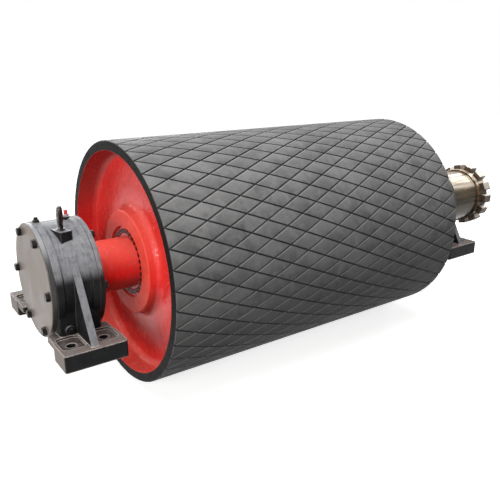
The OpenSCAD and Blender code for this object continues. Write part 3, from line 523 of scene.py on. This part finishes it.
def red_plastic():
    m = Nodes("red_cap_plastic", Metallic=0.0)
    spots = m.noise(110.0, 3.0, 0.6)
    m.colour = m.mix(m.ramp(spots, 0.3, 0.7), (0.50, 0.02, 0.02), (0.66, 0.05, 0.04))
    return m.finish(m.ramp(spots, 0.3, 0.7, 0.30, 0.45),
                    m.bump(m.noise(420.0, 2.0, 0.5), 0.12, 0.0003))


def apply_materials():
    """Gives each node its slot's material, or one of its own where the photograph shows another look."""
    by_slot = {
        "rubber_lagging": rubber(),
        "red_paint": red_paint("red_gloss_paint", (0.93, 0.016, 0.016), (0.99, 0.032, 0.030)),
        "dark_paint": cast_paint(),
        "cover_paint": plate_paint(),
        "black_steel": black_metal("blackened_steel"),
        "bright_steel": bright_steel(),
        "bronze_paint": bronze(),
        "cage_brass": cage_brass(),
        "seal_rubber": seal_rubber(),
        "red_cap": red_plastic(),
    }
    disc = red_paint("red_disc_paint", (0.74, 0.010, 0.012), (0.86, 0.022, 0.022), disc=True)
    ring = painted_ring()
    by_node = {
        "end_disc_idle": disc,
        "end_disc_drive": disc,
        "lock_outer_rings": ring,
        "lock_inner_rings": ring,
        "lock_screws": screw_black(),
        "coupling_lugs": lug_metal(),
        "lifting_eyes": black_metal("lifting_eye_steel", 0.85),
    }
    for part in frame["record"]["subparts"]:
        name = part["node"]
        material = by_node.get(name, by_slot[part["material_slot"]])
        for slot in frame["nodes"][name].material_slots:
            slot.material = material


# ---- floor, light and world ----

def feed_by_ray(tree, socket, lighting, seen):
    """Feeds a socket one shader for camera, glossy and transmission rays, and another for the rest."""
    path = tree.nodes.new("ShaderNodeLightPath")
    is_seen = path.outputs["Is Camera Ray"]
    for kind in ("Is Glossy Ray", "Is Transmission Ray"):
        either = tree.nodes.new("ShaderNodeMath")
        either.operation = "MAXIMUM"
        tree.links.new(is_seen, either.inputs[0])
        tree.links.new(path.outputs[kind], either.inputs[1])
        is_seen = either.outputs[0]
    choose = tree.nodes.new("ShaderNodeMixShader")
    tree.links.new(is_seen, choose.inputs[0])
    tree.links.new(lighting.outputs[0], choose.inputs[1])
    tree.links.new(seen.outputs[0], choose.inputs[2])
    tree.links.new(choose.outputs[0], socket)


def diffuse(tree, grey):
    shader = tree.nodes.new("ShaderNodeBsdfDiffuse")
    shader.inputs["Color"].default_value = (grey, grey, grey, 1.0)
    return shader


def floor_material():
    """White where it is seen, with the part's shadow on it, and dull in the light that it throws back."""
    mat = bpy.data.materials.new("floor_white")
    mat.use_nodes = True
    tree = mat.node_tree
    tree.nodes.clear()
    output = tree.nodes.new("ShaderNodeOutputMaterial")
    place = tree.nodes.new("ShaderNodeTexCoord")
    distance = tree.nodes.new("ShaderNodeVectorMath")
    distance.operation = "LENGTH"
    tree.links.new(place.outputs["Object"], distance.inputs[0])
    fade = tree.nodes.new("ShaderNodeMapRange")
    limits = (("From Min", FLOOR_NEAR), ("From Max", FLOOR_FAR),
              ("To Min", FLOOR_NEAR_GLOW), ("To Max", FLOOR_FAR_GLOW))
    for key, limit in limits:
        fade.inputs[key].default_value = limit
    tree.links.new(distance.outputs["Value"], fade.inputs["Value"])
    glow = tree.nodes.new("ShaderNodeEmission")
    glow.inputs["Color"].default_value = (1.0, 1.0, 1.0, 1.0)
    tree.links.new(fade.outputs["Result"], glow.inputs["Strength"])
    white = tree.nodes.new("ShaderNodeAddShader")
    tree.links.new(diffuse(tree, FLOOR_SEEN_GREY).outputs[0], white.inputs[0])
    tree.links.new(glow.outputs[0], white.inputs[1])
    feed_by_ray(tree, output.inputs["Surface"], diffuse(tree, FLOOR_LIGHTING_GREY), white)
    return mat


def make_floor():
    z = cad_box[0][2] - FLOOR_GAP
    half = FLOOR_HALF_SIZE
    corners = [(-half, -half, z), (half, -half, z), (half, half, z), (-half, half, z)]
    mesh = bpy.data.meshes.new("floor")
    mesh.from_pydata(corners, [], [(0, 1, 2, 3)])
    floor = bpy.data.objects.new("floor", mesh)
    bpy.context.scene.collection.objects.link(floor)
    floor.data.materials.append(floor_material())


def make_window(name, centre, aim, count, pane, pitch, radiance, colour):
    """A wall of soft window panes that faces aim."""
    centre = Vector(centre)
    turn = (Vector(aim) - centre).to_track_quat("-Z", "Y")
    for column in range(count[0]):
        for row in range(count[1]):
            data = bpy.data.lights.new(name, "AREA")
            data.shape = "RECTANGLE"
            data.size, data.size_y = pane
            data.energy = radiance * math.pi * pane[0] * pane[1]
            data.color = colour
            lamp = bpy.data.objects.new(name, data)
            bpy.context.scene.collection.objects.link(lamp)
            offset = Vector(((column - (count[0] - 1) / 2) * pitch[0],
                             (row - (count[1] - 1) / 2) * pitch[1],
                             0.0))
            lamp.location = centre + turn @ offset
            lamp.rotation_euler = turn.to_euler()


def background(tree, colour, strength):
    shader = tree.nodes.new("ShaderNodeBackground")
    shader.inputs["Color"].default_value = colour + (1.0,)
    shader.inputs["Strength"].default_value = strength
    return shader


def make_world():
    """White where it is seen, with only a faint cool light on the part."""
    world = bpy.data.worlds.new("studio")
    bpy.context.scene.world = world
    world.use_nodes = True
    tree = world.node_tree
    tree.nodes.clear()
    output = tree.nodes.new("ShaderNodeOutputWorld")
    feed_by_ray(tree, output.inputs["Surface"],
                background(tree, (0.96, 0.98, 1.0), SKY_LIGHTING),
                background(tree, (1.0, 1.0, 1.0), 1.0))


make_camera()
apply_materials()
make_floor()
for window in WINDOWS:
    make_window(*window)
make_world()
bpy.context.scene.view_settings.view_transform = "Standard"
